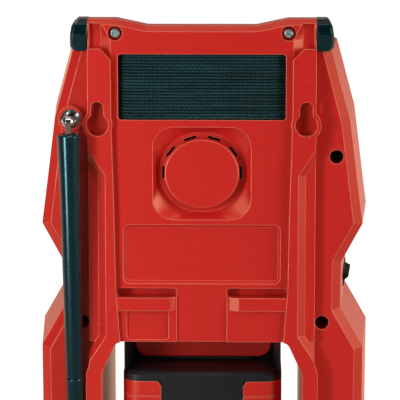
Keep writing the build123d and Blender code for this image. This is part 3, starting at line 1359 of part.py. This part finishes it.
# ---------------------------------------------------------------- labels and files
pieces = {
    "main_housing": main_housing, "front_housing": front_housing, "rear_cover": rear_cover,
    "cover_screws": cover_screws, "pillar_screws": pillar_screws, "strap_retainer": strap_retainer,
    "strap_bars": strap_bars, "strap": strap, "bumper_right": bumper_right, "bumper_left": bumper_left,
    "feet": feet, "antenna_swivel": antenna_swivel, "antenna_nut": antenna_nut,
    "antenna_pin": antenna_pin, "antenna_blade": antenna_blade, "antenna_sleeve": antenna_sleeve,
    "antenna_tip": antenna_tip, "front_panel": front_panel, "speaker_grille": speaker_grille,
    "display_lens": display_lens, "display_module": display_module, "key_board": key_board,
    "key_switches": key_switches, "encoders": encoders, "speaker_frame": speaker_frame,
    "speaker_cone": speaker_cone, "speaker_magnet": speaker_magnet, "speaker_screws": speaker_screws,
    "main_board": main_board, "board_screws": board_screws, "tuner_can": tuner_can,
    "heat_sink": heat_sink, "capacitors": capacitors, "port_cover": port_cover,
    "port_board": port_board, "aux_jack": aux_jack, "usb_socket": usb_socket,
    "battery_holder": battery_holder, "holder_screws": holder_screws,
    "terminal_block": terminal_block, "terminal_blades": terminal_blades,
    "battery_top_case": battery_top_case, "battery_bottom_case": battery_bottom_case,
    "battery_side_panels": battery_side_panels, "battery_end_plate": battery_end_plate,
    "battery_screws": battery_screws,
    "battery_cells": battery_cells, "battery_latch": battery_latch, "battery_button": battery_button,
}
solids = {name: piece.part for name, piece in pieces.items()} | buttons | shafts | knobs
for name, solid in solids.items():
    solid.label = name
    export_step(solid, f"parts/{name}.step")
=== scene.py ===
"""Jobsite radio from its back: finishes, woven strap, floor, light and camera round the model."""

import json
from math import pi, radians

import bmesh
import bpy
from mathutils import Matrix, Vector


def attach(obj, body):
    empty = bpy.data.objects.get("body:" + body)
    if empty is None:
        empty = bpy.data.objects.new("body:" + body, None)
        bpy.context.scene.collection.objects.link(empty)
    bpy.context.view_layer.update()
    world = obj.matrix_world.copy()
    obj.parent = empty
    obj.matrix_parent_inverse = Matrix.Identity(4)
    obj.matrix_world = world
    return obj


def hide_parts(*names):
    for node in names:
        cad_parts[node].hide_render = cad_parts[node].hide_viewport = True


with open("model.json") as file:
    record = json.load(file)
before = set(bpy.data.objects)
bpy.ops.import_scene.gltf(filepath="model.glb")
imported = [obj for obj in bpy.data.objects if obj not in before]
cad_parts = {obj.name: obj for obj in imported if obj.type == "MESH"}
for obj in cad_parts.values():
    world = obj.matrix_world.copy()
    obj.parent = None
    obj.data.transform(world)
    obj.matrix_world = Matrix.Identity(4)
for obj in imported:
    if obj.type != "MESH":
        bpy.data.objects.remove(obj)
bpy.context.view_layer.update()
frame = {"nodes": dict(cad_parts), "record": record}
nodes = frame["nodes"]

MM = 0.001
WHITE, WARM, AMBER = (1.0, 1.0, 1.0), (1.0, 0.93, 0.86), (1.0, 0.62, 0.42)

# camera: metres, and millimetres for the lens and its sensor
LENS, SENSOR, FAR = 204.1, 36.0, 20.0
CAMERA_PLACE, CAMERA_AIM = (-0.02359, 1.12315, 0.30728), (0.00081, 0.056, 0.14299)

# name, place, aim, width and height, watts, colour
MIDDLE = (0, 0.05, 0.15)
LAMPS = (
    ("left_front", (0.62, 0.79, 0.35), MIDDLE, (0.36, 0.9), 3.7, WARM),
    ("right_side", (-1.30, 0.50, 0.45), MIDDLE, (0.40, 0.9), 6.2, WARM),
    ("right_front", (-1.10, 0.80, 0.45), MIDDLE, (0.30, 0.9), 7.3, WARM),
    ("high_front", (0.0, 0.6, 1.3), MIDDLE, (0.8, 0.3), 2.7, WARM),
    ("top", (0.1, 0.1, 1.3), MIDDLE, (0.8, 0.5), 1.0, WHITE),
    ("behind", (0.25, -0.95, 1.10), MIDDLE, (1.0, 0.5), 4.5, WHITE),
    ("rim_left", (0.36, -1.1, 0.30), MIDDLE, (0.30, 0.4), 0.40, AMBER),
    ("front_right", (-1.1, -0.95, 0.5), MIDDLE, (0.5, 0.6), 3.0, WHITE),
    ("near_left", (0.33, 0.39, 0.13), (0.07, 0.06, 0.13), (0.085, 0.25), 1.0, WHITE),
)

# the sky's strength behind the object and on the camera's side, and where in Y it changes
BACKDROP, ROOM = 0.22, 0.04
SKY_CHANGE = (-0.35, 0.25)
# the floor's glow in the same two places: as the camera sees it, and as anything else does
FLOOR_SIZE, FLOOR_CHANGE = 14, (-0.12, 0.15)
FLOOR_SEEN, FLOOR_LIT = (1.0, 0.62), (0.85, 0.04)

# strap: the run across the window in Z, X and Y, its ribs, and its way round the bars
STRAP_LOW, STRAP_HIGH, RIBS = 0.1811, 0.2120, 21
RIB = (STRAP_HIGH - STRAP_LOW) / RIBS
STRAP_HALF, STRAP_Y, STRAP_COLUMNS = 0.0335, 0.0514, 10
STRAP_THICKNESS, RIB_HEIGHT, STITCH = 0.0012, 0.00022, 0.00125
TURN_IN = ((1.8, -0.35), (1.7, -0.95), (1.7, -1.25), (1.8, -0.95), (2.1, -0.65), (0.9, -0.2))
BAR_X, BAR_Y, WRAP, WRAP_STEPS = 0.0435, 0.0444, radians(205), 12
TINY = 1e-5
SMOOTH_BELOW = radians(40)


# ---------------------------------------------------------------- node helpers
def feed(tree, socket, value):
    """Links an output to an input, or sets the input to a plain number, vector or colour."""
    if isinstance(value, bpy.types.NodeSocket):
        tree.links.new(value, socket)
    elif socket.type == "RGBA":
        socket.default_value = (*value, 1)
    else:
        socket.default_value = value


def add_node(tree, kind, **values):
    """A node whose settings and inputs are given by name, settings first."""
    node = tree.nodes.new(kind)
    for key, value in values.items():
        if key in node.inputs:
            feed(tree, node.inputs[key], value)
        else:
            setattr(node, key, value)
    return node


def compute(tree, operation, *values, kind="ShaderNodeMath"):
    """A sum, product or the like of numbers or outputs."""
    node = add_node(tree, kind, operation=operation)
    for socket, value in zip(node.inputs, values):
        feed(tree, socket, value)
    return node.outputs["Value"]


def remap(tree, value, source, target=(0.0, 1.0), interpolation="LINEAR"):
    """The value carried from one range to another, and held at its ends."""
    span = add_node(tree, "ShaderNodeMapRange", interpolation_type=interpolation, Value=value)
    names = ("From Min", "From Max", "To Min", "To Max")
    for name, limit in zip(names, (*source, *target)):
        span.inputs[name].default_value = limit
    return span.outputs["Result"]


def blend(tree, factor, first, second, kind="RGBA"):
    """From the first colour or number to the second one."""
    mix = add_node(tree, "ShaderNodeMix", data_type=kind, Factor=factor, A=first, B=second)
    return mix.outputs["Result"]


def noise(tree, vector, **values):
    return add_node(tree, "ShaderNodeTexNoise", Vector=vector, **values).outputs["Fac"]


def object_place(tree):
    return add_node(tree, "ShaderNodeTexCoord").outputs["Object"]


# ---------------------------------------------------------------- camera, light and floor
def pointed_at(obj, target):
    obj.rotation_euler = (Vector(target) - obj.location).to_track_quat("-Z", "Y").to_euler()


def add_camera():
    data = bpy.data.cameras.new("camera")
    data.lens = LENS
    data.sensor_width = SENSOR
    data.clip_end = FAR
    camera = bpy.data.objects.new("camera", data)
    bpy.context.collection.objects.link(camera)
    camera.location = CAMERA_PLACE
    pointed_at(camera, CAMERA_AIM)
    bpy.context.scene.camera = camera


def softbox(name, place, target, size, watts, colour):
    data = bpy.data.lights.new(name, "AREA")
    data.shape = "RECTANGLE"
    data.size, data.size_y = size
    data.energy = watts
    data.color = colour
    lamp = bpy.data.objects.new(name, data)
    bpy.context.collection.objects.link(lamp)
    lamp.location = place
    pointed_at(lamp, target)
    lamp.visible_camera = False


def add_studio():
    """Soft boxes, a plain white backdrop, and a dim warm room in all that isn't seen directly."""
    world = bpy.data.worlds.new("studio")
    bpy.context.scene.world = world
    world.use_nodes = True
    tree = world.node_tree
    place = add_node(tree, "ShaderNodeTexCoord").outputs["Generated"]
    depth = add_node(tree, "ShaderNodeSeparateXYZ", Vector=place).outputs["Y"]
    room = tree.nodes["Background"]
    feed(tree, room.inputs["Color"], AMBER)
    feed(tree, room.inputs["Strength"],
         remap(tree, depth, SKY_CHANGE, (BACKDROP, ROOM), "SMOOTHSTEP"))
    paper = add_node(tree, "ShaderNodeBackground", Color=WHITE)
    kind = add_node(tree, "ShaderNodeLightPath")
    choose = add_node(tree, "ShaderNodeMixShader")
    shaders = (kind.outputs["Is Camera Ray"], room.outputs["Background"],
               paper.outputs["Background"])
    for socket, shader in zip(choose.inputs, shaders):
        feed(tree, socket, shader)
    feed(tree, tree.nodes["World Output"].inputs["Surface"], choose.outputs["Shader"])
    for lamp in LAMPS:
        softbox(*lamp)
    bpy.context.scene.view_settings.view_transform = "Standard"


def add_floor():
    """A pale sheet: near white where the camera sees it, warm and duller in the object's gloss."""
    bpy.ops.mesh.primitive_plane_add(size=FLOOR_SIZE, location=(0, 0, 0))
    floor = bpy.context.object
    floor.name = "floor"
    finish, tree, shader = new_finish("pale_floor", (0.25, 0.24, 0.23), 0.9)
    depth = add_node(tree, "ShaderNodeSeparateXYZ", Vector=object_place(tree)).outputs["Y"]
    seen = add_node(tree, "ShaderNodeLightPath").outputs["Is Camera Ray"]
    lit_glow, seen_glow = (remap(tree, depth, FLOOR_CHANGE, glow, "SMOOTHSTEP")
                           for glow in (FLOOR_LIT, FLOOR_SEEN))
    feed(tree, shader.inputs["Emission Strength"], blend(tree, seen, lit_glow, seen_glow, "FLOAT"))
    feed(tree, shader.inputs["Emission Color"], blend(tree, seen, AMBER, WHITE))
    dress(floor, finish)


# ---------------------------------------------------------------- materials
def new_finish(name, colour, roughness, metallic=0.0, specular=0.5, tint=WHITE):
    finish = bpy.data.materials.new(name)
    finish.use_nodes = True
    tree = finish.node_tree
    shader = tree.nodes["Principled BSDF"]
    values = {"Base Color": colour, "Roughness": roughness, "Metallic": metallic,
              "Specular IOR Level": specular, "Specular Tint": tint}
    for key, value in values.items():
        feed(tree, shader.inputs[key], value)
    return finish, tree, shader


def painted_edge_highlight(tree, rounded, strength):
    """Painted highlight mask: how far the rounded normal departs from the flat one, on outer edges
    only.
    """
    flat = add_node(tree, "ShaderNodeNewGeometry").outputs["True Normal"]
    turned = compute(tree, "DOT_PRODUCT", rounded, flat, kind="ShaderNodeVectorMath")
    on_edge = remap(tree, turned, (0.998, 0.93), (0.0, strength))
    nook = add_node(tree, "ShaderNodeAmbientOcclusion", samples=8, only_local=True,
                    Distance=0.0012)
    outer = remap(tree, nook.outputs["AO"], (0.72, 0.95))
    return compute(tree, "MULTIPLY", on_edge, outer)


def grained(name, colour, darker, roughness, grain=1600.0, depth=0.05, rounding=0.0005, edge=0.0,
            edge_highlight_colour=None, specular=0.5, tint=WHITE):
    """Moulded plastic or rubber: fine spark-eroded grain, slight colour drift, rounded edges, and
    on request a painted highlight along the outer edges.
    """
    finish, tree, shader = new_finish(name, colour, roughness, specular=specular, tint=tint)
    place = object_place(tree)
    fine = noise(tree, place, Scale=grain, Detail=3.0, Roughness=0.6)
    drift = noise(tree, place, Scale=22.0, Detail=2.0)
    surface = blend(tree, drift, darker, colour)
    swing = 0.06
    feed(tree, shader.inputs["Roughness"],
         remap(tree, fine, (0.35, 0.65), (roughness - swing, roughness + swing)))
    bump = add_node(tree, "ShaderNodeBump", Strength=depth, Distance=0.0004, Height=fine)
    if rounding:
        rounded = add_node(tree, "ShaderNodeBevel", samples=6, Radius=rounding).outputs["Normal"]
        feed(tree, bump.inputs["Normal"], rounded)
        if edge:
            # painted highlight: the outer edges are painted in a lighter colour
            surface = blend(tree, painted_edge_highlight(tree, rounded, edge), surface, edge_highlight_colour)
    feed(tree, shader.inputs["Base Color"], surface)
    feed(tree, shader.inputs["Normal"], bump.outputs["Normal"])
    return finish


def machined(name, colour, roughness):
    """Turned or plated metal with faint tool marks."""
    finish, tree, shader = new_finish(name, colour, roughness, metallic=1.0)
    marks = noise(tree, object_place(tree), Scale=900.0, Detail=2.0)
    swing, smoothest = 0.08, 0.02
    feed(tree, shader.inputs["Roughness"],
         remap(tree, marks, (0.0, 1.0), (max(smoothest, roughness - swing), roughness + swing)))
    rounded = add_node(tree, "ShaderNodeBevel", samples=4, Radius=0.0002)
    bump = add_node(tree, "ShaderNodeBump", Strength=0.03, Distance=0.0002, Height=marks,
                    Normal=rounded.outputs["Normal"])
    feed(tree, shader.inputs["Normal"], bump.outputs["Normal"])
    return finish


def woven(name, colour, light, rib_pitch, yarn_pitch, lowest):
    """Elastic webbing: ribs along X, short stitches across them, uneven from rib to rib; its
    colour is painted shade in the grooves and painted highlight on the raised yarn.
    """
    finish, tree, shader = new_finish(name, colour, 0.8, specular=0.12)
    place = object_place(tree)
    start = add_node(tree, "ShaderNodeMapping", Location=(0, 0, -lowest - rib_pitch / 4),
                     Vector=place)
    split = add_node(tree, "ShaderNodeSeparateXYZ", Vector=start.outputs["Vector"])

    def wave(channel, pitch, shift=None):
        angle = compute(tree, "MULTIPLY", split.outputs[channel], 2 * pi / pitch)
        if shift is not None:
            angle = compute(tree, "ADD", angle, shift)
        return compute(tree, "SINE", angle)

    rib = wave("Z", rib_pitch)
    # every second rib has its stitches half a step further along
    half_step = compute(tree, "MULTIPLY", wave("Z", 2 * rib_pitch), pi / 2)
    yarn, yarn_share = wave("X", yarn_pitch, half_step), 0.9
    height = compute(tree, "MULTIPLY_ADD", yarn, yarn_share, rib)
    # worn and slack stretches: long streaks along the ribs
    stretched = add_node(tree, "ShaderNodeMapping", Scale=(30, 30, 420), Vector=place)
    streak = noise(tree, stretched.outputs["Vector"], Scale=1.0, Detail=2.0)
    uneven = remap(tree, streak, (0.3, 0.7), (-0.55, 0.45))
    # colour from the weave's height: painted shade in the grooves, painted highlight on ribs and
    # stitches, with the worn streaks added
    painted_rib_shade_and_wear = remap(tree, compute(tree, "ADD", height, uneven), (-0.7, 1.75))
    feed(tree, shader.inputs["Base Color"], blend(tree, painted_rib_shade_and_wear, colour, light))
    bump = add_node(tree, "ShaderNodeBump", Strength=0.7, Distance=0.0003, Height=height)
    feed(tree, shader.inputs["Normal"], bump.outputs["Normal"])
    return finish


finishes = {
    # red moulding: its outer edges carry a painted highlight
    "red_plastic": grained("red_moulding", (0.555, 0.0155, 0.0150), (0.51, 0.0125, 0.0130), 0.33,
                           depth=0.15, rounding=0.0004, edge=0.8, edge_highlight_colour=(1.0, 0.42, 0.28),
                           specular=0.72, tint=(1.0, 0.74, 0.44)),
    "black_plastic": grained("black_moulding", (0.010, 0.012, 0.015), (0.008, 0.0095, 0.012),
                             0.42, specular=0.32),
    "panel_plastic": grained("panel_moulding", (0.02, 0.021, 0.023), (0.016, 0.017, 0.018), 0.5),
    "black_rubber": grained("soft_rubber", (0.0003, 0.010, 0.013), (0.0003, 0.008, 0.011), 0.18,
                            grain=1100, depth=0.012, rounding=0.0007, specular=0.9,
                            tint=(0.36, 0.80, 1.0)),
    "matte_rubber": grained("flap_rubber", (0.003, 0.014, 0.017), (0.002, 0.011, 0.014), 0.6,
                            specular=0.06),
    # webbing: painted shade in its grooves, painted highlight on its raised yarn
    "webbing": woven("elastic_webbing", (0.0008, 0.004, 0.005), (0.020, 0.086, 0.100), RIB,
                     STITCH, STRAP_LOW),
    "zinc_steel": machined("zinc_plate", (0.62, 0.96, 1.0), 0.30),
    "chrome": machined("bright_chrome", (0.50, 0.55, 0.58), 0.1),
    "grille_steel": grained("coated_steel", (0.02, 0.02, 0.022), (0.016, 0.016, 0.018), 0.5,
                            grain=2400),
    "clear_lens": grained("dark_lens", (0.02, 0.024, 0.028), (0.018, 0.02, 0.024), 0.08,
                          depth=0.0),
    "display": grained("display_glass", (0.2, 0.26, 0.22), (0.16, 0.22, 0.2), 0.3, rounding=0),
    "circuit_board": grained("solder_mask", (0.02, 0.13, 0.05), (0.015, 0.1, 0.04), 0.35,
                             rounding=0),
    "tin_plate": machined("tinned_sheet", (0.6, 0.6, 0.6), 0.35),
    "heat_sink_metal": machined("extruded_alloy", (0.65, 0.65, 0.67), 0.4),
    "brass": machined("spring_brass", (0.7, 0.52, 0.22), 0.3),
    "magnet_iron": grained("ferrite", (0.03, 0.03, 0.032), (0.025, 0.025, 0.027), 0.6,
                           rounding=0),
    "cone_cloth": grained("speaker_cloth", (0.02, 0.02, 0.02), (0.015, 0.015, 0.015), 0.9,
                          rounding=0),
    "cell_wrap": grained("shrink_wrap", (0.05, 0.2, 0.32), (0.04, 0.17, 0.28), 0.35, rounding=0),
}


def dress(obj, finish):
    obj.data.materials.clear()
    obj.data.materials.append(finish)


# ---------------------------------------------------------------- edit-mode helpers
def pick(obj, kind, test):
    """Selects the edited piece's vertices or edges whose middle passes a test."""
    mesh = bmesh.from_edit_mesh(obj.data)
    bpy.ops.mesh.select_mode(type=kind)
    bpy.ops.mesh.select_all(action="DESELECT")
    if kind == "VERT":
        for vertex in mesh.verts:
            vertex.select_set(test(vertex.co))
    else:
        for edge in mesh.edges:
            edge.select_set(test((edge.verts[0].co + edge.verts[1].co) / 2))
    mesh.select_flush_mode()
    bmesh.update_edit_mesh(obj.data)


def apply_modifier(obj, kind, **values):
    modifier = obj.modifiers.new(kind.lower(), kind)
    for key, value in values.items():
        setattr(modifier, key, value)
    bpy.ops.object.modifier_apply(modifier=modifier.name)


# ---------------------------------------------------------------- strap
def weave_strap():
    """Ribbed webbing pulled across the window; each end runs in and wraps round its bar."""
    middle = (STRAP_LOW + STRAP_HIGH) / 2
    bpy.ops.mesh.primitive_grid_add(x_subdivisions=STRAP_COLUMNS, y_subdivisions=2 * RIBS, size=1,
                                    location=(0, STRAP_Y, middle), rotation=(-pi / 2, 0, 0))
    strap = bpy.context.object
    strap.scale = (2 * STRAP_HALF, STRAP_HIGH - STRAP_LOW, 1)
    bpy.ops.object.transform_apply(location=True, rotation=True, scale=True)
    bpy.ops.object.mode_set(mode="EDIT")
    for side in (1, -1):
        # the edge runs inwards behind the window's side, then round the bar
        pick(strap, "EDGE", lambda m: side * m.x > STRAP_HALF - TINY)
        for out, back in TURN_IN:
            bpy.ops.mesh.extrude_region_move(
                TRANSFORM_OT_translate={"value": (side * out * MM, back * MM, 0)})
        bpy.ops.mesh.spin(steps=WRAP_STEPS, angle=-side * WRAP,
                          center=(side * BAR_X, BAR_Y, middle), axis=(0, 0, 1))
    bpy.ops.mesh.select_all(action="SELECT")
    bpy.ops.mesh.remove_doubles(threshold=TINY)
    bpy.ops.mesh.normals_make_consistent(inside=False)
    # every second row of vertices stands proud as a rib
    pick(strap, "VERT", lambda m: round((m.z - STRAP_LOW) / RIB * 2) % 2 == 1)
    bpy.ops.transform.shrink_fatten(value=RIB_HEIGHT)
    bpy.ops.object.mode_set(mode="OBJECT")
    apply_modifier(strap, "SOLIDIFY", thickness=STRAP_THICKNESS, offset=0.0)
    apply_modifier(strap, "SUBSURF", levels=1, render_levels=1)
    strap.name = "woven_strap"
    bpy.ops.object.shade_smooth_by_angle(angle=SMOOTH_BELOW)
    dress(strap, finishes["webbing"])
    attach(strap, "case")
    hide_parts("strap")


for part in frame["record"]["subparts"]:
    dress(nodes[part["node"]], finishes[part["material_slot"]])
dress(nodes["port_cover"], finishes["matte_rubber"])

bpy.ops.object.select_all(action="DESELECT")
weave_strap()
add_floor()
add_camera()
add_studio()
